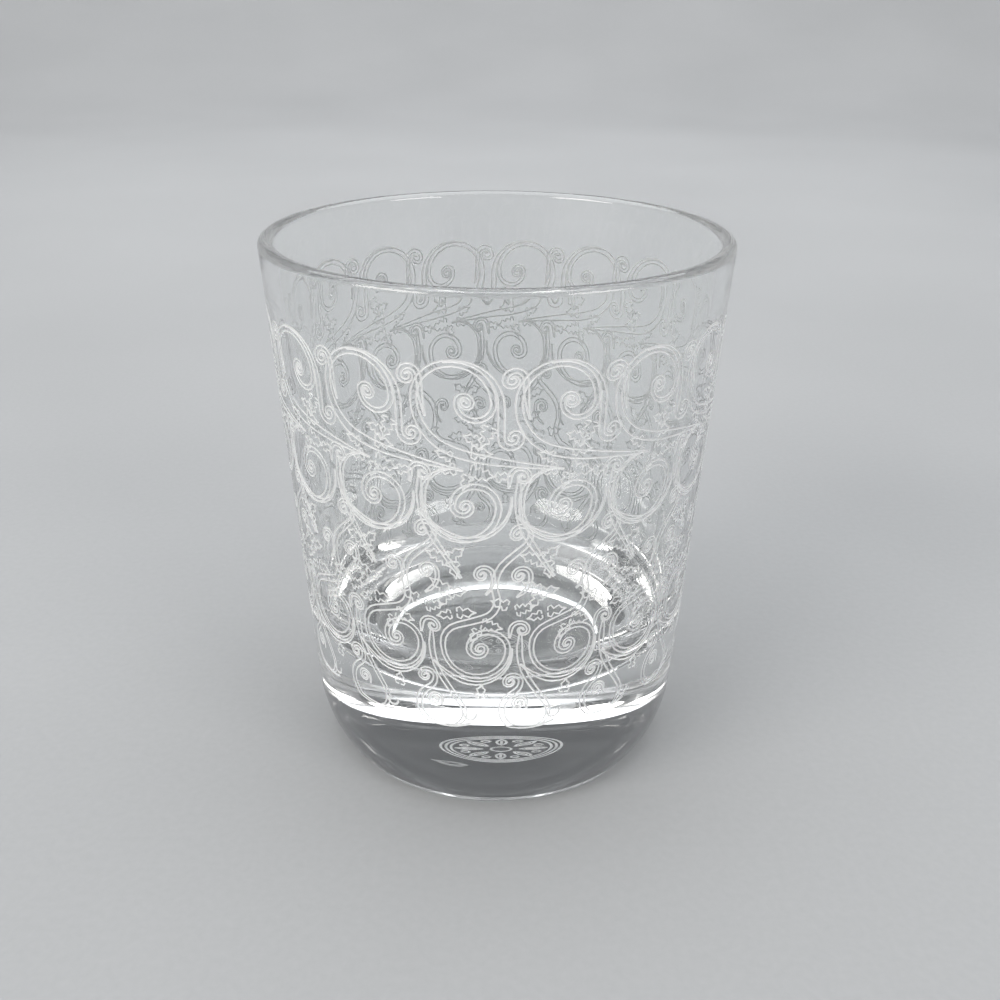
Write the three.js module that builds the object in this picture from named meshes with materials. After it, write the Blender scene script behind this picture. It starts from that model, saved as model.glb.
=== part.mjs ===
// Whiskey tumbler: one piece of clear blown crystal with a heavy base.
//
// Millimetres, +Z up. The origin is the middle of the foot, on the table.
// The whole glass is a solid of revolution: a closed profile of radius and height,
// turned about the Z axis. The etched ornament is only a tenth of a millimetre deep
// and belongs to the finish, so it isn't part of this solid.

import * as THREE from 'three';

// ---- Driving dimensions ----
const height = 95;                // table to the top of the lip
const rimDiameter = 78;           // outside of the wall at the lip
const wallFootDiameter = 68.8;    // outside of the straight wall, carried on down to the table
const rimThickness = 2.6;         // wall just below the lip
const wellThickness = 3.2;        // wall where it starts to turn into the inner floor
const lipRadius = 1.1;            // rounding of both edges of the lip, where the wall has room
const lipLand = 0.1;              // least flat left between the lip's two rounded edges
const heelHeight = 11.5;          // where the straight wall turns into the heel
const heelRadius = 23;            // arc of the heel, tangent to the wall
const footEdgeRadius = 1.2;       // small rounding between the heel and the foot ring
const footRingWidth = 4.5;        // flat ring that the glass stands on
const hollowDepth = 0.6;          // polished hollow of the underside, inside the ring
const hollowSlopeWidth = 2.4;     // slope from the ring to the hollow's flat middle
const floorThickness = 19.5;      // glass under the middle of the inner floor
const floorCrown = 1.2;           // how much lower the middle of the floor lies than its edge
const cornerRadius = 16.5;        // rounding between the inner wall and the floor

// ---- Fineness of the facets ----
const turnSegments = 72;
const heelSteps = 10;
const cornerSteps = 10;
const edgeSteps = 4;
const floorSteps = 4;

const outerRadiusAt = (z) =>
  wallFootDiameter / 2 + ((rimDiameter - wallFootDiameter) / 2) * (z / height);

// Points of an arc about (r, z), from one angle to another, both ends included.
function arc(centre, radius, fromAngle, toAngle, steps) {
  const points = [];
  for (let step = 0; step <= steps; step += 1) {
    const angle = fromAngle + ((toAngle - fromAngle) * step) / steps;
    points.push(new THREE.Vector2(
      centre.x + radius * Math.cos(angle),
      centre.y + radius * Math.sin(angle),
    ));
  }
  return points;
}

// The heel is tangent to the wall at heelHeight, and its lower end is rounded into the table
// by a small arc that touches both. Its centre is a footEdgeRadius above the table and at
// (heelRadius - footEdgeRadius) from the heel's own centre.
function heel() {
  const taper = Math.atan((rimDiameter - wallFootDiameter) / 2 / height);
  const top = new THREE.Vector2(outerRadiusAt(heelHeight), heelHeight);
  const centre = new THREE.Vector2(
    top.x - heelRadius * Math.cos(taper),
    top.y + heelRadius * Math.sin(taper),
  );
  const drop = centre.y - footEdgeRadius;
  const reach = heelRadius - footEdgeRadius;
  const lowAngle = -Math.asin(Math.min(drop / reach, 1));
  const edgeCentre = new THREE.Vector2(
    centre.x + reach * Math.cos(lowAngle),
    footEdgeRadius,
  );
  return {
    edge: arc(edgeCentre, footEdgeRadius, -Math.PI / 2, lowAngle, edgeSteps),
    curve: arc(centre, heelRadius, lowAngle, -taper, heelSteps).slice(1),
    footRadius: edgeCentre.x,
  };
}

// The hollow underside, from the axis out to the ring that touches the table.
function underside(footRadius) {
  const ringInside = footRadius - footRingWidth;
  return [
    new THREE.Vector2(0, hollowDepth),
    new THREE.Vector2(ringInside - hollowSlopeWidth, hollowDepth),
    new THREE.Vector2(ringInside - hollowSlopeWidth / 3, hollowDepth / 4),
    new THREE.Vector2(ringInside, 0),
  ];
}

// The lip: two quarter rounds with whatever flat is left between them. A wall too thin for
// both rounds gets smaller ones.
function lip() {
  const round = Math.min(lipRadius, (rimThickness - lipLand) / 2);
  const outer = new THREE.Vector2(rimDiameter / 2 - round, height - round);
  const inner = new THREE.Vector2(rimDiameter / 2 - rimThickness + round, height - round);
  return [
    ...arc(outer, round, 0, Math.PI / 2, edgeSteps),
    ...arc(inner, round, Math.PI / 2, Math.PI, edgeSteps),
  ];
}

// The inside below the straight wall: the rounded corner, then the slightly dished floor.
function well() {
  const cornerBottom = floorThickness + floorCrown;
  const wallBottom = cornerBottom + cornerRadius;
  const innerRadius = outerRadiusAt(wallBottom) - wellThickness;
  const centre = new THREE.Vector2(innerRadius - cornerRadius, wallBottom);
  const floor = [];
  for (let step = 1; step <= floorSteps; step += 1) {
    const share = 1 - step / floorSteps;
    floor.push(new THREE.Vector2(centre.x * share, floorThickness + floorCrown * share * share));
  }
  return [...arc(centre, cornerRadius, 0, -Math.PI / 2, cornerSteps), ...floor];
}

function tumblerGeometry() {
  const { edge, curve, footRadius } = heel();
  const profile = [...underside(footRadius), ...edge, ...curve, ...lip(), ...well()];
  const geometry = new THREE.LatheGeometry(profile, turnSegments);
  geometry.rotateX(Math.PI / 2);
  return geometry;
}

const crystal = new THREE.MeshStandardMaterial({
  color: 0xf4f7f8,
  roughness: 0.03,
  metalness: 0,
  transparent: true,
  opacity: 0.35,
});

const body = new THREE.Mesh(tumblerGeometry(), crystal);
body.name = 'crystal_body';

const tumbler = new THREE.Group();
tumbler.add(body);

export default tumbler;
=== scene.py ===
# %% [markdown]
# # A whiskey tumbler in etched crystal
# The real glass is one piece: a tapered wall, a heavy solid base and a softly rounded heel,
# blown in lead crystal. A fine scrollwork is etched round the outside of the wall, and a small
# mark is etched under the foot. The measured model gives the size and the place; this lesson
# makes the fine surface, the etching, the glass itself and the light it stands in.

# %% Load the measured model
import math

import bpy
import numpy as np
from mathutils import Matrix, Vector
from mathutils.geometry import delaunay_2d_cdt


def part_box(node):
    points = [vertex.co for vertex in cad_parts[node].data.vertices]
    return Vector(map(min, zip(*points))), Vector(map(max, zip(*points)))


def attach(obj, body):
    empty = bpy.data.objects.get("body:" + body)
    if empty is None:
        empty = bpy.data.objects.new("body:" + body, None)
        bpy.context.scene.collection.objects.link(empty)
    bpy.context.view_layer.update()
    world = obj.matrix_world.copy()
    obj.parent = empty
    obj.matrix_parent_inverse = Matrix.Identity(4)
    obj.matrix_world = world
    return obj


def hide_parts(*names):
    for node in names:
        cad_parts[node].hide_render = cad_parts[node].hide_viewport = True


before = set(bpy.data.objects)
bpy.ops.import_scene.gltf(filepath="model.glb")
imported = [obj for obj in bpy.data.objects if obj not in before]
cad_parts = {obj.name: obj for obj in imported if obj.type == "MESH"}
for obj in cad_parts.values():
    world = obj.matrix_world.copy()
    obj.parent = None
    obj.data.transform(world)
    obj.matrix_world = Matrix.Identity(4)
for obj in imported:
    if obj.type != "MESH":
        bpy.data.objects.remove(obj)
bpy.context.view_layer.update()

low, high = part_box("crystal_body")
MM = 0.001
HEIGHT = (high[2] - low[2]) / MM
RIM_RADIUS = (high[0] - low[0]) / 2 / MM
print("tumbler", round(HEIGHT, 2), "mm high,", round(2 * RIM_RADIUS, 2), "mm across the lip")

# %% [markdown]
# ## The camera
# It comes first, so that every step can be looked at. It stands a hand's length from the glass
# and looks down at it by a little over a quarter of a right angle, as someone at a table does.
# A moderately wide lens this close gives the wall its strong taper in the picture.

# %% Camera
CAMERA_PLACE = (0.77, -169.1, 129.3)
LOOK_DOWN = math.radians(26.48)
TILT = math.radians(0.46)
LENS = 36.28
SENSOR = 36
NEAREST_SEEN = 0.005

camera_data = bpy.data.cameras.new("camera")
camera_data.sensor_width = SENSOR
camera_data.lens = LENS
camera_data.clip_start = NEAREST_SEEN
camera = bpy.data.objects.new("camera", camera_data)
bpy.context.scene.collection.objects.link(camera)
turn = Matrix.Rotation(math.pi / 2 - LOOK_DOWN, 4, "X") @ Matrix.Rotation(TILT, 4, "Z")
camera.matrix_world = Matrix.Translation(Vector(CAMERA_PLACE) * MM) @ turn
bpy.context.scene.camera = camera
print("camera at", CAMERA_PLACE, "mm")

# %% [markdown]
# ## The profile
# A tumbler is a body of revolution, so one half outline says everything about its shape. The
# sizes are those of the measured model, in millimetres. The curves are drawn with more steps
# here, because clear glass shows every facet twice: on its outline and in what it refracts.

# %% Sizes of the profile, in millimetres
WALL_FOOT_RADIUS = 34.4
RIM_THICKNESS = 2.6
WELL_THICKNESS = 3.2
LIP_ROUND = 1.1
HEEL_HEIGHT = 11.5
HEEL_RADIUS = 23.0
FOOT_EDGE = 1.2
FOOT_RING_WIDTH = 4.5
HOLLOW_DEPTH = 0.6
HOLLOW_SLOPE = 2.4
FLOOR_THICKNESS = 19.5
FLOOR_CROWN = 1.2
CORNER_RADIUS = 16.5
TAPER = math.atan((RIM_RADIUS - WALL_FOOT_RADIUS) / HEIGHT)


def wall_radius(z):
    """Outside radius of the straight wall at a height."""
    return WALL_FOOT_RADIUS + (RIM_RADIUS - WALL_FOOT_RADIUS) * z / HEIGHT


def arc(centre, radius, start, end, steps):
    """Points of an arc in the plane of the profile, both ends included."""
    angles = [start + (end - start) * step / steps for step in range(steps + 1)]
    return [(centre[0] + radius * math.cos(a), centre[1] + radius * math.sin(a)) for a in angles]


# %% The outline of the foot and the heel
HEEL_CENTRE = (
    wall_radius(HEEL_HEIGHT) - HEEL_RADIUS * math.cos(TAPER),
    HEEL_HEIGHT + HEEL_RADIUS * math.sin(TAPER),
)
HEEL_REACH = HEEL_RADIUS - FOOT_EDGE
HEEL_END = -math.asin((HEEL_CENTRE[1] - FOOT_EDGE) / HEEL_REACH)
EDGE_CENTRE = (HEEL_CENTRE[0] + HEEL_REACH * math.cos(HEEL_END), FOOT_EDGE)
RING_INSIDE = EDGE_CENTRE[0] - FOOT_RING_WIDTH
MARK_DISC_RADIUS = 9.0
HOLLOW_SPLIT = 15.0
HOLLOW_WAVE = ((1, 1), (0.66, 0.74), (0.33, 0.26), (0, 0))
BAND_BOTTOM = 18.8
BAND_TOP = 86.4
OVER_HEEL = 15.5
FOOT_EDGE_STEPS = 6
HEEL_STEPS = 13


def foot_outline():
    """From the marked disc under the foot, over the ring and the heel, to the etched band."""
    points = [(MARK_DISC_RADIUS, HOLLOW_DEPTH), (HOLLOW_SPLIT, HOLLOW_DEPTH)]
    points += [(RING_INSIDE - HOLLOW_SLOPE * in_share, HOLLOW_DEPTH * up_share)
               for in_share, up_share in HOLLOW_WAVE]
    points += [(RING_INSIDE + FOOT_RING_WIDTH / 2, 0.0)]
    points += arc(EDGE_CENTRE, FOOT_EDGE, -math.pi / 2, HEEL_END, FOOT_EDGE_STEPS)
    points += arc(HEEL_CENTRE, HEEL_RADIUS, HEEL_END, -TAPER, HEEL_STEPS)[1:]
    points += [(wall_radius(z), z) for z in (OVER_HEEL, BAND_BOTTOM)]
    return points


print("foot outline", len(foot_outline()), "points")

# %% The outline of the lip, the inside and the floor
UNDER_LIP = 90.0
LIP_STEPS = 5
CORNER_STEPS = 19
FLOOR_STEPS = 5
INSIDE_RINGS = (0.02, 0.34, 0.66, 0.98)


def cup_outline():
    """From the etched band over the lip and down the inside to the middle of the floor."""
    outer = (RIM_RADIUS - LIP_ROUND, HEIGHT - LIP_ROUND)
    inner = (RIM_RADIUS - RIM_THICKNESS + LIP_ROUND, HEIGHT - LIP_ROUND)
    corner_bottom = FLOOR_THICKNESS + FLOOR_CROWN
    corner_top = corner_bottom + CORNER_RADIUS
    inner_radius = wall_radius(corner_top) - WELL_THICKNESS
    corner = (inner_radius - CORNER_RADIUS, corner_top)
    points = [(wall_radius(BAND_TOP), BAND_TOP), (wall_radius(UNDER_LIP), UNDER_LIP)]
    points += arc(outer, LIP_ROUND, 0, math.pi / 2, LIP_STEPS)
    points += arc(inner, LIP_ROUND, math.pi / 2, math.pi, LIP_STEPS)
    start = points[-1]
    for share in INSIDE_RINGS:
        points.append((start[0] + (inner_radius - start[0]) * share,
                       start[1] + (corner_top - start[1]) * share))
    points += arc(corner, CORNER_RADIUS, 0, -math.pi / 2, CORNER_STEPS)
    for step in range(1, FLOOR_STEPS + 1):
        share = 1 - step / FLOOR_STEPS
        points.append((corner[0] * share, FLOOR_THICKNESS + FLOOR_CROWN * share * share))
    return points


print("cup outline", len(cup_outline()), "points")

# %% [markdown]
# ## Turning the plain glass
# By hand this is a plane shrunk to one point, the point extruded along the outline, and the
# line of edges spun once round the axis of the glass. Two shells are turned: the foot with its
# heel, and the lip with the whole inside. The etched band between them is made afterwards. The
# number of facets round is a multiple of sixteen, because the scrollwork repeats sixteen times
# and each repeat has to meet the shells corner to corner.

# %% A shell turned from an outline
REPEATS = 16
FACETS_PER_REPEAT = 12
FACETS = REPEATS * FACETS_PER_REPEAT
MERGE = 0.002 * MM


def deselect():
    if bpy.context.mode != "OBJECT":
        bpy.ops.object.mode_set(mode="OBJECT")
    bpy.ops.object.select_all(action="DESELECT")


def turned(name, outline):
    """Extrude a single point along the outline, then spin the line once round the axis."""
    deselect()
    start = (outline[0][0] * MM, 0, outline[0][1] * MM)
    bpy.ops.mesh.primitive_plane_add(size=MM, location=start)
    shell = bpy.context.object
    shell.name = name
    bpy.ops.object.transform_apply(location=True, rotation=True, scale=True)
    bpy.ops.object.mode_set(mode="EDIT")
    bpy.ops.mesh.select_all(action="SELECT")
    bpy.ops.mesh.merge(type="CENTER")
    for (r0, z0), (r1, z1) in zip(outline, outline[1:]):
        step = ((r1 - r0) * MM, 0, (z1 - z0) * MM)
        bpy.ops.mesh.extrude_region_move(TRANSFORM_OT_translate={"value": step})
    bpy.ops.mesh.select_all(action="SELECT")
    bpy.ops.mesh.spin(steps=FACETS, angle=2 * math.pi, center=(0, 0, 0), axis=(0, 0, 1))
    bpy.ops.mesh.select_all(action="SELECT")
    bpy.ops.mesh.remove_doubles(threshold=MERGE)
    bpy.ops.object.mode_set(mode="OBJECT")
    print(name, len(shell.data.vertices), "vertices", len(shell.data.polygons), "faces")
    return shell


foot_shell = turned("foot_shell", foot_outline())
cup_shell = turned("cup_shell", cup_outline())

# %% [markdown]
# ## Drawing the scrollwork
# The ornament was drawn with a needle through wax and etched: each stem is two fine lines that
# run side by side, swell and draw together again, and end in a curl. Such a stem is a chain of
# arcs, so it is written as one: where it starts, which way it heads, and then the radius and
# the turn of each arc, with the width that the stem has reached at the arc's end. A left turn
# is positive. The drawing is flat, in millimetres, one repeat 15 mm wide, and x runs to the
# right round the glass.

# %% Stems as chains of arcs
REPEAT_WIDTH = 15.0
STRAIGHT = None
STRAIGHT_STEP = 2.6
FINEST_STEP = 0.33
STEP_PER_RADIUS = 0.20
WIDE_ARC = 5
WIDEST_TURN = 40


def stem_points(x, z, heading, width, *arcs):
    """Points (x, z, direction, width) along a chain of arcs (radius, turn, end width)."""
    direction = math.radians(heading)
    points = [(x, z, direction, width)]
    for radius, turn_by, end_width in arcs:
        if radius is STRAIGHT:
            steps = max(1, round(turn_by / STRAIGHT_STEP))
            for step in range(1, steps + 1):
                share = step / steps
                points.append((
                    x + math.cos(direction) * turn_by * share,
                    z + math.sin(direction) * turn_by * share,
                    direction,
                    width + (end_width - width) * share,
                ))
        else:
            sweep = math.radians(turn_by)
            side = math.copysign(1, sweep)
            centre_x = x - math.sin(direction) * radius * side
            centre_z = z + math.cos(direction) * radius * side
            step_length = FINEST_STEP + STEP_PER_RADIUS * min(radius, WIDE_ARC)
            steps = max(2, round(abs(sweep) * radius / step_length),
                        round(abs(turn_by) / WIDEST_TURN))
            for step in range(1, steps + 1):
                share = step / steps
                angle = direction + sweep * share
                points.append((
                    centre_x + math.sin(angle) * radius * side,
                    centre_z - math.cos(angle) * radius * side,
                    angle,
                    width + (end_width - width) * share,
                ))
            direction += sweep
        x, z = points[-1][0], points[-1][1]
        width = end_width
    return points


def stem(*chain):
    """The two fine lines of a stem, one along each side."""
    lines = []
    for side in (0.5, -0.5):
        lines.append([(x - math.sin(a) * w * side, z + math.cos(a) * w * side)
                      for x, z, a, w in stem_points(*chain)])
    return lines


print("a quarter turn of 5 mm radius takes",
      len(stem_points(0, 0, 0, 0.5, (5.0, 90, 0.5))), "points")

# %% A leaf
LEAF_REACH = 0.42
LEAF_STALK = 0.10
LEAF_TIP = 1.15
LOBE_SHAPE = ((0, 0.75), (0.4, 1), (0.75, 0.35))


def leaf(x, z, heading, size, lobes):
    """A small lobed leaf: one line up each side, meeting in the tip."""
    direction = math.radians(heading)
    lines = []
    for side in (1, -1):
        outline = [(0.0, LEAF_STALK * size)]
        for lobe in range(lobes):
            base = size * lobe / lobes
            reach = size * LEAF_REACH * (1 - 0.5 * lobe / lobes)
            step = size / lobes
            outline += [(base + ahead * step, aside * reach) for ahead, aside in LOBE_SHAPE]
        outline.append((size * LEAF_TIP, 0.0))
        lines.append([(x + math.cos(direction) * u - math.sin(direction) * v * side,
                       z + math.sin(direction) * u + math.cos(direction) * v * side)
                      for u, v in outline])
    return lines


# %% [markdown]
# One repeat holds, from the lip downwards: an upright loop with a curl in its middle, a band of
# tails that lean down to the right, a hanging loop, an S-shaped scroll, a second band with its
# hanging loop, and a lower scroll whose tail makes the edging. Curls end the stems, and small
# leaves sit where the stems part. Everything below the first band is drawn as if it ran to the
# right too, and then turned over, so that the two parts of the wall answer each other.

# %% One repeat of the scrollwork
CURL_OPENS = [(0.42, 180, 0.32), (0.82, 180, 0.5)]
CURL_CLOSES = [(1.5, -180, 0.6), (0.85, -180, 0.42), (0.45, -150, 0.14)]
UPPER_STEMS = [
    # upright loop and its long tail in the band
    (11.0, 79.0, 90, 0.14, *CURL_OPENS, (1.15, 180, 0.6), (2.65, 180, 0.75), (5.75, 180, 0.95),
     (8.0, 72, 1.5), (30, 9, 1.35), (STRAIGHT, 12.0, 0.16)),
    # the stem that follows the upright loop on its right
    (7.8, 84.9, 14, 0.12, (6.5, -104, 0.9), (STRAIGHT, 4.9, 0.9), (1.45, 180, 0.8),
     (0.85, 170, 0.5), (0.45, 120, 0.14)),
    # curl between two upright loops
    (4.9, 76.6, 103, 0.12, (24, -10, 0.7), (STRAIGHT, 1.8, 0.7), (1.45, 178, 0.7),
     (0.9, 180, 0.45), (0.5, 150, 0.14)),
]
LOWER_STEMS = [
    # hanging loop
    (22.3, 68.6, -6, 0.14, (5.0, -83, 0.8), (STRAIGHT, 1.2, 0.7), (5.8, -180, 0.85),
     (3.5, -180, 0.8), *CURL_CLOSES),
    # stem that leans down beside the hanging loop
    (27.2, 67.6, -88, 0.3, (STRAIGHT, 3.4, 0.9), (14, -34, 0.9), (STRAIGHT, 7.6, 0.3)),
    # stem round the outside of the hanging loop
    (13.3, 64.2, -96, 0.12, (6.7, 118, 0.85), (12, 30, 0.16)),
    # hook in the band
    (11.4, 67.4, 90, 0.14, (0.45, -180, 0.3), (0.85, -180, 0.5), (1.5, -175, 0.6),
     (STRAIGHT, 1.8, 0.2)),
    # S-shaped scroll, second band and its hanging loop
    (12.4, 57.8, 90, 0.14, *CURL_OPENS, (1.5, 180, 0.7), (3.0, 48, 0.9), (STRAIGHT, 3.4, 1.0),
     (6.2, -66, 1.0), (3.4, 88, 1.2), (STRAIGHT, 4.6, 1.0), (4.0, -72, 0.8), (STRAIGHT, 0.8, 0.7),
     (5.5, -180, 0.85), (3.3, -180, 0.8), *CURL_CLOSES),
    # curl under the scroll
    (12.0, 50.4, 90, 0.14, *CURL_OPENS, (1.4, 170, 0.6), (3.6, 60, 0.5), (STRAIGHT, 1.2, 0.14)),
    # curl in the gap beside the scroll
    (3.0, 50.6, 90, 0.14, *CURL_OPENS, (1.4, 165, 0.6), (4.0, 62, 0.2)),
    # stem that leans down, with its turned-up foot
    (26.4, 39.6, -88, 0.3, (STRAIGHT, 2.6, 0.9), (13, -34, 0.9), (STRAIGHT, 5.8, 0.8),
     (3.2, 62, 0.7), (2.0, 50, 0.14)),
    # stem round the outside of the second hanging loop
    (12.8, 36.6, -96, 0.12, (6.4, 118, 0.85), (12, 28, 0.16)),
    # hook in the second band
    (10.9, 40.2, 90, 0.14, (0.45, -180, 0.3), (0.85, -180, 0.5), (1.5, -175, 0.6),
     (STRAIGHT, 1.6, 0.2)),
    # lower scroll and the edging
    (13.2, 29.9, 90, 0.14, *CURL_OPENS, (1.45, 180, 0.7), (2.6, 50, 0.9), (STRAIGHT, 1.2, 1.0),
     (4.2, -96, 0.9), (1.6, -30, 0.6), (13, -34, 0.16)),
    # curl under the lower scroll
    (11.6, 25.3, 90, 0.14, *CURL_OPENS, (1.2, 160, 0.4), (2.2, 40, 0.14)),
    # drop between two edging loops
    (18.9, 23.0, -100, 0.12, (1.15, 200, 0.14)),
]
UPPER_LEAVES = [
    # in the upright loops and along the upper band
    (14.3, 75.4, -112, 3.0, 3), (13.2, 72.9, 158, 2.6, 3), (8.6, 70.4, 160, 2.2, 2),
    (11.6, 71.4, -4, 2.6, 2),
]
LOWER_LEAVES = [
    # over the hanging loops
    (4.4, 68.3, -168, 3.2, 3), (4.7, 67.6, -70, 2.2, 2), (6.6, 68.6, -8, 2.4, 2),
    (0.6, 67.4, 168, 2.0, 2),
    # a spray between the two rows of hanging loops
    (8.2, 53.0, 18, 3.2, 3), (7.9, 53.3, 140, 2.6, 2), (7.4, 52.6, -100, 2.6, 2),
    (8.6, 47.4, 35, 2.8, 2), (8.2, 47.0, 170, 2.6, 2), (8.5, 46.6, -60, 2.4, 2),
    # along the lower band
    (2.8, 41.4, -165, 3.0, 3), (3.5, 40.2, -62, 2.2, 2), (12.2, 43.9, 165, 2.8, 3),
    (13.6, 44.9, 20, 2.6, 2), (6.9, 43.3, 176, 2.7, 2), (7.9, 42.9, -14, 2.2, 2),
    # in the edging
    (3.2, 26.6, 96, 2.4, 2),
]

# %% The two parts of a repeat together
TURNED_ABOUT = 30.8
upper_lines = [line for chain in UPPER_STEMS for line in stem(*chain)]
upper_lines += [line for place in UPPER_LEAVES for line in leaf(*place)]
lower_lines = [line for chain in LOWER_STEMS for line in stem(*chain)]
lower_lines += [line for place in LOWER_LEAVES for line in leaf(*place)]
repeat_lines = upper_lines + [[(TURNED_ABOUT - x, z) for x, z in line] for line in lower_lines]
heights = [z for line in repeat_lines for _, z in line]
print(len(repeat_lines), "lines in a repeat, from", round(min(heights), 1), "to",
      round(max(heights), 1), "mm")

# %% [markdown]
# ## Etching it into the wall
# Each fine line becomes a shallow groove with a left edge, a bottom and a right edge. A boolean
# cut could do this, but thousands of crossing cutters would break the smooth wall into slivers
# that clear glass would show. So the wall of one repeat is drawn flat, with every groove's three
# lines in it, and filled with triangles that keep to those lines. Each corner is then sunk by
# how near it lies to the nearest line, and the flat drawing is rolled onto the wall.

# %% Grooves as edges of a flat drawing
GROOVE_HALF = 0.16
GROOVE_DEPTH = 0.09
CLEARANCE = 0.8
SAME_PLACE = 1e-6


def groove_edges(line):
    """Point pairs along both edges and the bottom of a groove, closed at its two ends."""
    points = np.array(line)
    along = np.gradient(points, axis=0)
    along /= np.linalg.norm(along, axis=1)[:, None]
    across = GROOVE_HALF * np.stack([-along[:, 1], along[:, 0]], axis=1)
    left, right = points + across, points - across
    if np.hypot(*(points[0] - points[-1])) < SAME_PLACE:
        tracks = [left, points, right]
    else:
        first_tip = points[0] - GROOVE_HALF * along[0]
        last_tip = points[-1] + GROOVE_HALF * along[-1]
        tracks = [left, points, right, [left[0], first_tip, right[0]],
                  [left[-1], last_tip, right[-1]]]
    return [(a, b) for track in tracks for a, b in zip(track[:-1], track[1:])]


def clipped(start, end, lowest, highest):
    """The stretch of a point pair between two values of x, or None."""
    run = end[0] - start[0]
    if abs(run) < 1e-9:
        return (start, end) if lowest < start[0] < highest else None
    entry, leave = sorted(((lowest - start[0]) / run, (highest - start[0]) / run))
    entry, leave = max(0.0, entry), min(1.0, leave)
    if leave - entry < SAME_PLACE:
        return None
    return start + (end - start) * entry, start + (end - start) * leave


def distance_to(points, pairs):
    """Distance from each point to the nearest of the point pairs."""
    nearest = np.full(len(points), np.inf)
    for start, end in pairs:
        along = end - start
        share = np.clip((points - start) @ along / max(along @ along, 1e-12), 0, 1)
        gap = points - (start + share[:, None] * along)
        nearest = np.minimum(nearest, np.hypot(gap[:, 0], gap[:, 1]))
    return nearest


print("a groove is", 2 * GROOVE_HALF, "mm wide and", GROOVE_DEPTH, "mm deep")

# %% A flat sheet filled with triangles
DECIMALS = 4
FILL_TOLERANCE = 1e-5
SLOPE_END = 0.97 * GROOVE_HALF
GROOVE_REACH = 0.9 * GROOVE_HALF


def etched_sheet(lines, edges, rails, lattice):
    """Corners (x, z, depth), triangles, and which triangles lie in a groove."""
    bottoms = [(np.array(a), np.array(b)) for line in lines for a, b in zip(line[:-1], line[1:])]
    corners = []
    index_of = {}

    def corner(point):
        key = (round(float(point[0]), DECIMALS), round(float(point[1]), DECIMALS))
        if key not in index_of:
            index_of[key] = len(corners)
            corners.append(key)
        return index_of[key]

    kept = set()
    for start, end in edges + [pair for rail in rails for pair in zip(rail[:-1], rail[1:])]:
        first, second = corner(start), corner(end)
        if first != second:
            kept.add((min(first, second), max(first, second)))
    lattice = np.array(lattice)
    for point in lattice[distance_to(lattice, bottoms) > CLEARANCE]:
        corner(point)
    flat = [Vector(point) for point in corners]
    points, _, faces, _, _, _ = delaunay_2d_cdt(flat, sorted(kept), [], 0, FILL_TOLERANCE)
    points = np.array([tuple(point) for point in points])
    faces = np.array([tuple(face) for face in faces])
    depth = GROOVE_DEPTH * np.clip(1 - distance_to(points, bottoms) / SLOPE_END, 0, 1)
    in_groove = distance_to(points[faces].mean(axis=1), bottoms) < GROOVE_REACH
    return np.column_stack([points, depth]), faces, in_groove


# %% The etched wall of one repeat
ROWS = 15
NEIGHBOURS = (-2, -1, 0, 1)


def wall_repeat(lines):
    """The etched sheet of one repeat, with equal left and right sides."""
    shifted = [[(x + shift * REPEAT_WIDTH, z) for x, z in line] for line in lines
               for shift in NEIGHBOURS]
    near = [line for line in shifted
            if max(x for x, _ in line) > -1 and min(x for x, _ in line) < REPEAT_WIDTH + 1]
    edges = [clipped(a, b, 0, REPEAT_WIDTH) for line in near for a, b in groove_edges(line)]
    edges = [pair for pair in edges if pair is not None]
    crossings = {round(float(point[1]), DECIMALS) for pair in edges for point in pair
                 if not SAME_PLACE < point[0] < REPEAT_WIDTH - SAME_PLACE}
    columns = np.linspace(0, REPEAT_WIDTH, FACETS_PER_REPEAT + 1)
    rows = np.linspace(BAND_BOTTOM, BAND_TOP, ROWS + 1)
    free = {z for z in rows if all(abs(z - other) > CLEARANCE / 2 for other in crossings)}
    side = sorted(crossings | free | {BAND_BOTTOM, BAND_TOP})
    rails = [[(x, z) for z in side] for x in (0.0, REPEAT_WIDTH)]
    rails += [[(x, z) for x in columns] for z in (BAND_BOTTOM, BAND_TOP)]
    lattice = [(x, z) for x in columns[2:-1:2] for z in rows[1:-1]]
    return etched_sheet(near, edges, rails, lattice)


corners, triangles, grooved = wall_repeat(repeat_lines)
print("one repeat:", len(corners), "corners,", len(triangles), "triangles,",
      int(grooved.sum()), "of them in grooves")

# %% Sixteen repeats rolled onto the wall
FRONT = -math.pi / 2
FINISHES = ("crystal", "etched")


def mesh_object(name, places, faces, frosted):
    """A new object from corners and faces, with material 1 on the frosted faces."""
    mesh = bpy.data.meshes.new(name)
    mesh.from_pydata([tuple(place) for place in places], [], [tuple(face) for face in faces])
    for finish in FINISHES:
        mesh.materials.append(bpy.data.materials.get(finish) or bpy.data.materials.new(finish))
    mesh.polygons.foreach_set("material_index", [int(flag) for flag in frosted])
    piece = bpy.data.objects.new(name, mesh)
    bpy.context.scene.collection.objects.link(piece)
    return piece


def rolled_wall():
    """The flat repeat bent round the cone and set side by side, all the way round."""
    places = []
    faces = []
    for repeat in range(REPEATS):
        angle = FRONT + (corners[:, 0] / REPEAT_WIDTH + repeat) * 2 * math.pi / REPEATS
        radius = wall_radius(corners[:, 1]) - corners[:, 2]
        faces.append(triangles + len(corners) * repeat)
        places.append(np.column_stack([radius * np.cos(angle), radius * np.sin(angle),
                                       corners[:, 1]]) * MM)
    return mesh_object("etched_wall", np.vstack(places), np.vstack(faces),
                       np.tile(grooved, REPEATS))


etched_wall = rolled_wall()
print("etched wall:", len(etched_wall.data.polygons), "triangles")

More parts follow.
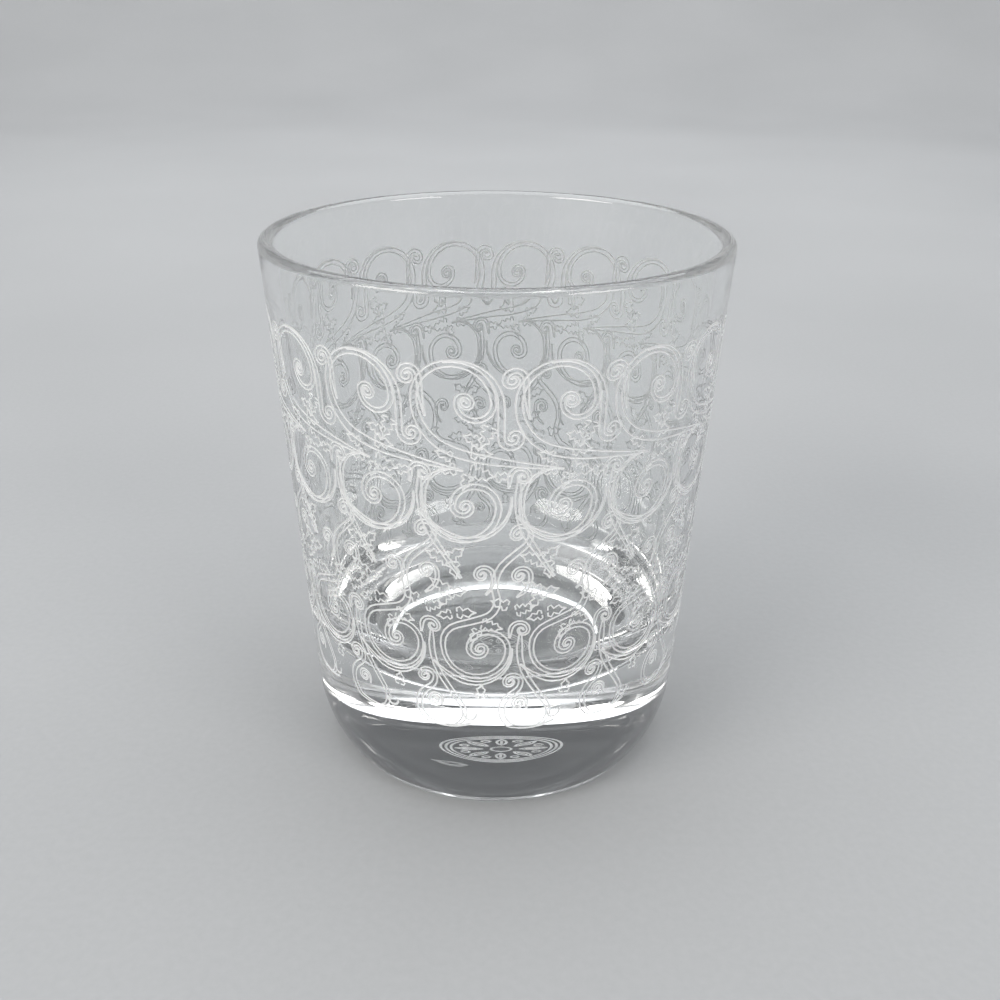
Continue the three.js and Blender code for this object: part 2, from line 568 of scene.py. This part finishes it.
# %% [markdown]
# ## The mark under the foot
# The real glass carries its maker's round mark, etched into the hollow of the foot, and a signed
# name. Here the mark is a plain rosette, eight petals in three rings, and there is no name.
# It is made the way of the wall, from arcs, on a flat disc that closes the foot.

# %% The rosette
PETALS = 8
RINGS = (7.1, 6.5, 5.9, 1.2)
MARK_MIDDLE = (0.8, -1.2)
PETAL_START = 2.2
PETAL_ARC = (2.45, 80)
VEIN_START = 2.9
VEIN_LENGTH = 1.6
BEADS_AT = 4.6
BEAD_RADIUS = 0.5
BEAD_STEPS = 7


def beyond(start, length, angle):
    """The point at a distance from another, in a direction."""
    return start[0] + length * math.cos(angle), start[1] + length * math.sin(angle)


def ring_line(radius, steps, middle=(0.0, 0.0)):
    angles = [2 * math.pi * step / steps for step in range(steps + 1)]
    return [beyond(middle, radius, angle) for angle in angles]


def rosette_lines():
    """Three rings, a ring of beads, eight veined petals and a small ring in the middle."""
    lines = [ring_line(radius, round(12 + 6 * radius), MARK_MIDDLE) for radius in RINGS]
    for petal in range(PETALS):
        heading = 360 * petal / PETALS
        angle = math.radians(heading)
        foot = beyond(MARK_MIDDLE, PETAL_START, angle)
        for side in (1, -1):
            bend = PETAL_ARC[1] * side
            path = stem_points(*foot, heading + bend / 2, 0, (PETAL_ARC[0], -bend, 0))
            lines.append([(x, z) for x, z, _, _ in path])
        vein = beyond(MARK_MIDDLE, VEIN_START, angle)
        lines.append([vein, beyond(vein, VEIN_LENGTH, angle)])
        bead = beyond(MARK_MIDDLE, BEADS_AT, angle + math.pi / PETALS)
        lines.append(ring_line(BEAD_RADIUS, BEAD_STEPS, bead))
    return lines


print(len(rosette_lines()), "lines in the rosette")

# %% The disc that carries it
HOLDING_RINGS = (2.0, 8.1)
HOLDING_STEPS = 24


def marked_disc():
    """The middle of the hollow under the foot, facing down, with the rosette in it."""
    lines = rosette_lines()
    edges = [pair for line in lines for pair in groove_edges(line)]
    rim = ring_line(MARK_DISC_RADIUS, FACETS)
    lattice = [point for radius in HOLDING_RINGS for point in ring_line(radius, HOLDING_STEPS)]
    disc, faces, frosted = etched_sheet(lines, edges, [rim], lattice)
    places = np.column_stack([disc[:, 0], disc[:, 1], HOLLOW_DEPTH + disc[:, 2]]) * MM
    return mesh_object("marked_disc", places, faces[:, ::-1], frosted)


mark = marked_disc()
print("marked disc:", len(mark.data.polygons), "triangles")

# %% [markdown]
# ## One closed body
# The shells, the etched wall and the disc are joined and merged where they meet, so that the
# glass is one closed skin: a ray of light that enters has to leave somewhere. The faces are
# turned outwards. Then every corner on the smooth wall gets the exact direction of a cone, since
# averaging the little triangles beside a groove would make the clear wall look dented.

# %% Join, merge and face outwards
tumbler = foot_shell
for shell in (foot_shell, cup_shell):
    for finish in FINISHES:
        shell.data.materials.append(bpy.data.materials[finish])
deselect()
for piece in (foot_shell, cup_shell, etched_wall, mark):
    piece.select_set(True)
bpy.context.view_layer.objects.active = tumbler
bpy.ops.object.join()
tumbler.name = "tumbler"
tumbler.data.name = "tumbler"
bpy.ops.object.mode_set(mode="EDIT")
bpy.ops.mesh.select_all(action="SELECT")
bpy.ops.mesh.remove_doubles(threshold=MERGE)
bpy.ops.mesh.normals_make_consistent(inside=False)
bpy.ops.mesh.select_all(action="DESELECT")
bpy.ops.mesh.select_non_manifold()
bpy.ops.object.mode_set(mode="OBJECT")
open_edges = sum(edge.select for edge in tumbler.data.edges)
triangle_count = sum(len(face.vertices) - 2 for face in tumbler.data.polygons)
print("tumbler:", triangle_count, "triangles,", open_edges, "open edges")

# %% Smooth and sharp edges, weighted by the size of the faces
SHARPEST_SMOOTH = math.radians(20)

deselect()
tumbler.select_set(True)
bpy.context.view_layer.objects.active = tumbler
bpy.ops.object.shade_smooth_by_angle(angle=SHARPEST_SMOOTH)
bpy.ops.object.modifier_add(type="WEIGHTED_NORMAL")
weighted = tumbler.modifiers[-1]
weighted.mode = "FACE_AREA"
weighted.keep_sharp = True
bpy.ops.object.modifier_apply(modifier=weighted.name)
print("sharp edges:", sum(edge.use_edge_sharp for edge in tumbler.data.edges))

# %% Exact directions on the smooth wall
WALL_SLACK = 0.12
HAIR = 0.01
UNDERSIDE = 2.0


def per_item(items, name, kind, width=1):
    """One value, or one row of values, for each vertex, corner or face of a mesh."""
    values = np.empty(len(items) * width, dtype=kind)
    items.foreach_get(name, values)
    return values.reshape(-1, width) if width > 1 else values


def straighten_wall_normals(mesh):
    """Give the clear corners that lie on the outside cone the cone's own direction."""
    vertex_of = per_item(mesh.loops, "vertex_index", np.int32)
    normals = per_item(mesh.corner_normals, "vector", np.float32, 3)
    places = per_item(mesh.vertices, "co", np.float64, 3)[vertex_of] / MM
    sizes = per_item(mesh.polygons, "loop_total", np.int32)
    finish = per_item(mesh.polygons, "material_index", np.int32)
    faces_up = per_item(mesh.polygons, "normal", np.float64, 3)
    is_frosted = np.repeat(finish, sizes) == 1
    radius = np.hypot(places[:, 0], places[:, 1])
    height = places[:, 2]
    on_wall = (np.abs(radius - wall_radius(height)) < WALL_SLACK) & (height > HEEL_HEIGHT - HAIR)
    on_wall &= height < HEIGHT - LIP_ROUND - HAIR
    clear = on_wall & ~is_frosted
    outward = places[:, :2] / radius[:, None]
    normals[clear, :2] = outward[clear] * math.cos(TAPER)
    normals[clear, 2] = -math.sin(TAPER)
    normals[is_frosted] = np.repeat(faces_up, sizes, axis=0)[is_frosted]
    on_disc = ~is_frosted & (radius < MARK_DISC_RADIUS + HAIR) & (height < UNDERSIDE)
    normals[on_disc] = (0, 0, -1)
    mesh.normals_split_custom_set([tuple(normal) for normal in normals.tolist()])
    return int(clear.sum())


print("corners straightened:", straighten_wall_normals(tumbler.data))

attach(tumbler, "root")
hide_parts("crystal_body")

# %% [markdown]
# ## Finishes
# Clear crystal and etched crystal are the same glass. One is polished, and the other is eaten
# to a fine grain that scatters light and looks white. Both take their unevenness from one group
# of nodes, "uneven", a soft cloud with a finer grain in it, each at its own scale.

# %% The shared node group
NOISE_SPAN = (0.3, 0.7)
CLOUD_DETAIL = 3
GRAIN_DETAIL = 2


def socket(group, name, direction, kind, value=None):
    made = group.interface.new_socket(name, in_out=direction, socket_type=kind)
    if value is not None:
        made.default_value = value


def uneven_group():
    group = bpy.data.node_groups.new("uneven", "ShaderNodeTree")
    socket(group, "Vector", "INPUT", "NodeSocketVector")
    socket(group, "Cloud Scale", "INPUT", "NodeSocketFloat", 40.0)
    socket(group, "Grain Scale", "INPUT", "NodeSocketFloat", 900.0)
    socket(group, "Grain Share", "INPUT", "NodeSocketFloat", 0.5)
    socket(group, "Low", "INPUT", "NodeSocketFloat", 0.0)
    socket(group, "High", "INPUT", "NodeSocketFloat", 1.0)
    socket(group, "Value", "OUTPUT", "NodeSocketFloat")
    socket(group, "Mask", "OUTPUT", "NodeSocketFloat")
    nodes, links = group.nodes, group.links
    entry = nodes.new("NodeGroupInput")
    leave = nodes.new("NodeGroupOutput")
    cloud = nodes.new("ShaderNodeTexNoise")
    cloud.inputs["Detail"].default_value = CLOUD_DETAIL
    grain = nodes.new("ShaderNodeTexNoise")
    grain.inputs["Detail"].default_value = GRAIN_DETAIL
    mix = nodes.new("ShaderNodeMix")
    spread = nodes.new("ShaderNodeMapRange")
    spread.inputs["From Min"].default_value, spread.inputs["From Max"].default_value = NOISE_SPAN
    scale = nodes.new("ShaderNodeMapRange")
    for texture, name in ((cloud, "Cloud Scale"), (grain, "Grain Scale")):
        links.new(entry.outputs["Vector"], texture.inputs["Vector"])
        links.new(entry.outputs[name], texture.inputs["Scale"])
    links.new(entry.outputs["Grain Share"], mix.inputs["Factor"])
    links.new(cloud.outputs["Fac"], mix.inputs["A"])
    links.new(grain.outputs["Fac"], mix.inputs["B"])
    links.new(mix.outputs["Result"], spread.inputs["Value"])
    links.new(spread.outputs["Result"], scale.inputs["Value"])
    links.new(entry.outputs["Low"], scale.inputs["To Min"])
    links.new(entry.outputs["High"], scale.inputs["To Max"])
    links.new(scale.outputs["Result"], leave.inputs["Value"])
    links.new(spread.outputs["Result"], leave.inputs["Mask"])
    return group


uneven = uneven_group()
print("node group", uneven.name, "with", len(uneven.nodes), "nodes")


# %% Helpers for a material
def fresh(material):
    """Empty node tree with a Principled shader, its output and Object coordinates."""
    material.use_nodes = True
    nodes = material.node_tree.nodes
    nodes.clear()
    shader = nodes.new("ShaderNodeBsdfPrincipled")
    output = nodes.new("ShaderNodeOutputMaterial")
    places = nodes.new("ShaderNodeTexCoord")
    material.node_tree.links.new(shader.outputs["BSDF"], output.inputs["Surface"])
    return material.node_tree, shader, places


def add_uneven(tree, places, **values):
    """The shared group in a material, with this finish's own values."""
    node = tree.nodes.new("ShaderNodeGroup")
    node.node_tree = uneven
    tree.links.new(places.outputs["Object"], node.inputs["Vector"])
    for name, value in values.items():
        node.inputs[name.replace("_", " ")].default_value = value
    return node


def add_bump(tree, shader, height, strength, distance):
    """Small heights, in metres, that turn the light but don't move the surface."""
    bump = tree.nodes.new("ShaderNodeBump")
    bump.inputs["Strength"].default_value = strength
    bump.inputs["Distance"].default_value = distance
    tree.links.new(height, bump.inputs["Height"])
    tree.links.new(bump.outputs["Normal"], shader.inputs["Normal"])


# %% Clear crystal
CRYSTAL_IOR = 1.54
CRYSTAL_COLOUR = (0.985, 0.992, 0.99, 1)
RING_CONTACT = 0.0003
WAVE_STRENGTH = 0.05
WAVE_HEIGHT = 0.0002


def clear_crystal():
    """Polished glass: smudged, faintly wavy, and scuffed on the ring that it stands on."""
    tree, shader, places = fresh(bpy.data.materials["crystal"])
    shader.inputs["Base Color"].default_value = CRYSTAL_COLOUR
    shader.inputs["IOR"].default_value = CRYSTAL_IOR
    shader.inputs["Transmission Weight"].default_value = 1
    smudge = add_uneven(tree, places, Cloud_Scale=60, Grain_Scale=500, Grain_Share=0.3,
                        Low=0.0, High=0.008)
    scuff = add_uneven(tree, places, Cloud_Scale=180, Grain_Scale=2500, Grain_Share=0.6,
                       Low=0.02, High=0.30)
    split = tree.nodes.new("ShaderNodeSeparateXYZ")
    tree.links.new(places.outputs["Object"], split.inputs["Vector"])
    on_ring = tree.nodes.new("ShaderNodeMapRange")
    on_ring.inputs["From Min"].default_value = 0.0
    on_ring.inputs["From Max"].default_value = RING_CONTACT
    on_ring.inputs["To Min"].default_value = 1.0
    on_ring.inputs["To Max"].default_value = 0.0
    tree.links.new(split.outputs["Z"], on_ring.inputs["Value"])
    worn = tree.nodes.new("ShaderNodeMix")
    tree.links.new(on_ring.outputs["Result"], worn.inputs["Factor"])
    tree.links.new(smudge.outputs["Value"], worn.inputs["A"])
    tree.links.new(scuff.outputs["Value"], worn.inputs["B"])
    tree.links.new(worn.outputs["Result"], shader.inputs["Roughness"])
    wave = add_uneven(tree, places, Cloud_Scale=45, Grain_Scale=110, Grain_Share=0.2)
    add_bump(tree, shader, wave.outputs["Value"], WAVE_STRENGTH, WAVE_HEIGHT)


clear_crystal()
print("crystal: refractive index", CRYSTAL_IOR)


# %% Etched crystal
FROST_CLEARNESS = 0.25
FROST_STRENGTH = 0.3
FROST_HEIGHT = 0.00002
FROST_GREY = (0.90, 0.92, 0.93, 1)
FROST_WHITE = (1.0, 1.0, 1.0, 1)


def etched_crystal():
    """Glass eaten to a fine grain: it scatters most of the light and lets a little through."""
    tree, shader, places = fresh(bpy.data.materials["etched"])
    shader.inputs["IOR"].default_value = CRYSTAL_IOR
    shader.inputs["Transmission Weight"].default_value = FROST_CLEARNESS
    grain = add_uneven(tree, places, Cloud_Scale=300, Grain_Scale=4000, Grain_Share=0.5,
                       Low=0.42, High=0.62)
    tree.links.new(grain.outputs["Value"], shader.inputs["Roughness"])
    tone = tree.nodes.new("ShaderNodeMix")
    tone.data_type = "RGBA"
    tone.inputs["A"].default_value = FROST_GREY
    tone.inputs["B"].default_value = FROST_WHITE
    tree.links.new(grain.outputs["Mask"], tone.inputs["Factor"])
    tree.links.new(tone.outputs["Result"], shader.inputs["Base Color"])
    add_bump(tree, shader, grain.outputs["Value"], FROST_STRENGTH, FROST_HEIGHT)


etched_crystal()
print("finishes:", [material.name for material in tumbler.data.materials])

# %% [markdown]
# ## Where it stands
# A plain pale floor that curves up all round, far from the glass, like the paper sweep of a
# studio, so that its edge comes into view only from low down. It is a disc whose outer rings
# are lifted. Its paint is a little uneven, as a real studio board is.

# %% Floor with a sweep all round
FLOOR_GAP = 0.00005
FLOOR_FLAT = 1.1
SWEEP_RADIUS = 0.9
SWEEP_STEPS = 12
SWEEP_ANGLE = math.radians(75)
FLOOR_SIDES = 96
FLOOR_SMOOTH = math.radians(30)

deselect()
bpy.ops.mesh.primitive_circle_add(
    vertices=FLOOR_SIDES, radius=FLOOR_FLAT, fill_type="NGON", location=(0, 0, -FLOOR_GAP))
floor = bpy.context.object
floor.name = "floor"
bpy.ops.object.mode_set(mode="EDIT")
bpy.ops.mesh.select_all(action="SELECT")
bpy.ops.mesh.normals_make_consistent(inside=False)
bpy.ops.mesh.region_to_loop()
reach, rise = FLOOR_FLAT, 0.0
for step in range(1, SWEEP_STEPS + 1):
    angle = SWEEP_ANGLE * step / SWEEP_STEPS
    wider = (FLOOR_FLAT + SWEEP_RADIUS * math.sin(angle)) / reach
    higher = SWEEP_RADIUS * (1 - math.cos(angle)) - rise
    bpy.ops.mesh.extrude_edges_move(TRANSFORM_OT_translate={"value": (0, 0, higher)})
    bpy.ops.transform.resize(value=(wider, wider, 1), center_override=(0, 0, 0))
    reach, rise = reach * wider, rise + higher
bpy.ops.object.mode_set(mode="OBJECT")
bpy.ops.object.shade_smooth_by_angle(angle=FLOOR_SMOOTH)
print("floor reaches", round(reach, 2), "m and rises to", round(rise, 2), "m")

# %% Paint of the floor
PAINT_DARK = (0.36, 0.365, 0.37, 1)
PAINT_LIGHT = (0.40, 0.405, 0.41, 1)
PAINT_SHEEN = 0.2

floor_paint = bpy.data.materials.new("floor_paint")
floor.data.materials.append(floor_paint)
tree, shader, places = fresh(floor_paint)
board = add_uneven(tree, places, Cloud_Scale=6, Grain_Scale=700, Grain_Share=0.4,
                   Low=0.5, High=0.6)
shader.inputs["Specular IOR Level"].default_value = PAINT_SHEEN
tree.links.new(board.outputs["Value"], shader.inputs["Roughness"])
tone = tree.nodes.new("ShaderNodeMix")
tone.data_type = "RGBA"
tone.inputs["A"].default_value = PAINT_DARK
tone.inputs["B"].default_value = PAINT_LIGHT
tree.links.new(board.outputs["Mask"], tone.inputs["Factor"])
tree.links.new(tone.outputs["Result"], shader.inputs["Base Color"])
print("paint:", floor_paint.name)

# %% [markdown]
# ## Light
# Clear glass has no colour of its own. It shows the lamps and what they light. A large soft box
# overhead, reaching out behind the glass, makes the bright band in the base: its light is turned
# back up by the foot. Two in front, far out to the sides, light the etching and give the inside
# its highlights, the left one warmer and stronger. A long one lights the sweep behind. A faint
# even glow from all round keeps the shadows open.

# %% Soft boxes
def soft_box(name, place, aim, width, height, power, tint):
    """An oval lamp at a place, in metres, that faces a point."""
    data = bpy.data.lights.new(name, "AREA")
    data.color = tint
    data.shape = "ELLIPSE"
    data.size = width
    data.size_y = height
    data.energy = power
    lamp = bpy.data.objects.new(name, data)
    bpy.context.scene.collection.objects.link(lamp)
    lamp.location = place
    way = Vector(aim) - Vector(place)
    lamp.rotation_euler = way.to_track_quat("-Z", "Y").to_euler()
    print(name, power, "W")


soft_box("overhead", (0.0, 0.30, 0.95), (0, 0.30, 0), 2.0, 1.55, 16.5, (0.96, 0.98, 1.0))
soft_box("front_left", (-1.48, -1.20, 0.95), (0, 0, 0.05), 1.35, 1.1, 31, (1.0, 0.97, 0.93))
soft_box("front_right", (1.48, -1.27, 0.88), (0, 0, 0.05), 1.15, 1.0, 20, (1.0, 0.98, 0.96))
soft_box("backdrop", (0.0, 0.85, 1.05), (0, 1.9, 0.2), 1.8, 0.4, 9, (0.97, 0.98, 1.0))

# %% The room's glow, and enough bounces for glass
ROOM_COLOUR = (0.75, 0.78, 0.82, 1)
ROOM_STRENGTH = 0.14
GLASS_BOUNCES = 32
MIRROR_BOUNCES = 16

world = bpy.data.worlds.new("room")
world.use_nodes = True
background = world.node_tree.nodes["Background"]
background.inputs["Color"].default_value = ROOM_COLOUR
background.inputs["Strength"].default_value = ROOM_STRENGTH
bpy.context.scene.world = world

scene = bpy.context.scene
scene.cycles.max_bounces = GLASS_BOUNCES
scene.cycles.transmission_bounces = GLASS_BOUNCES
scene.cycles.glossy_bounces = MIRROR_BOUNCES
scene.view_settings.view_transform = "Standard"
print("light bounces:", scene.cycles.max_bounces)
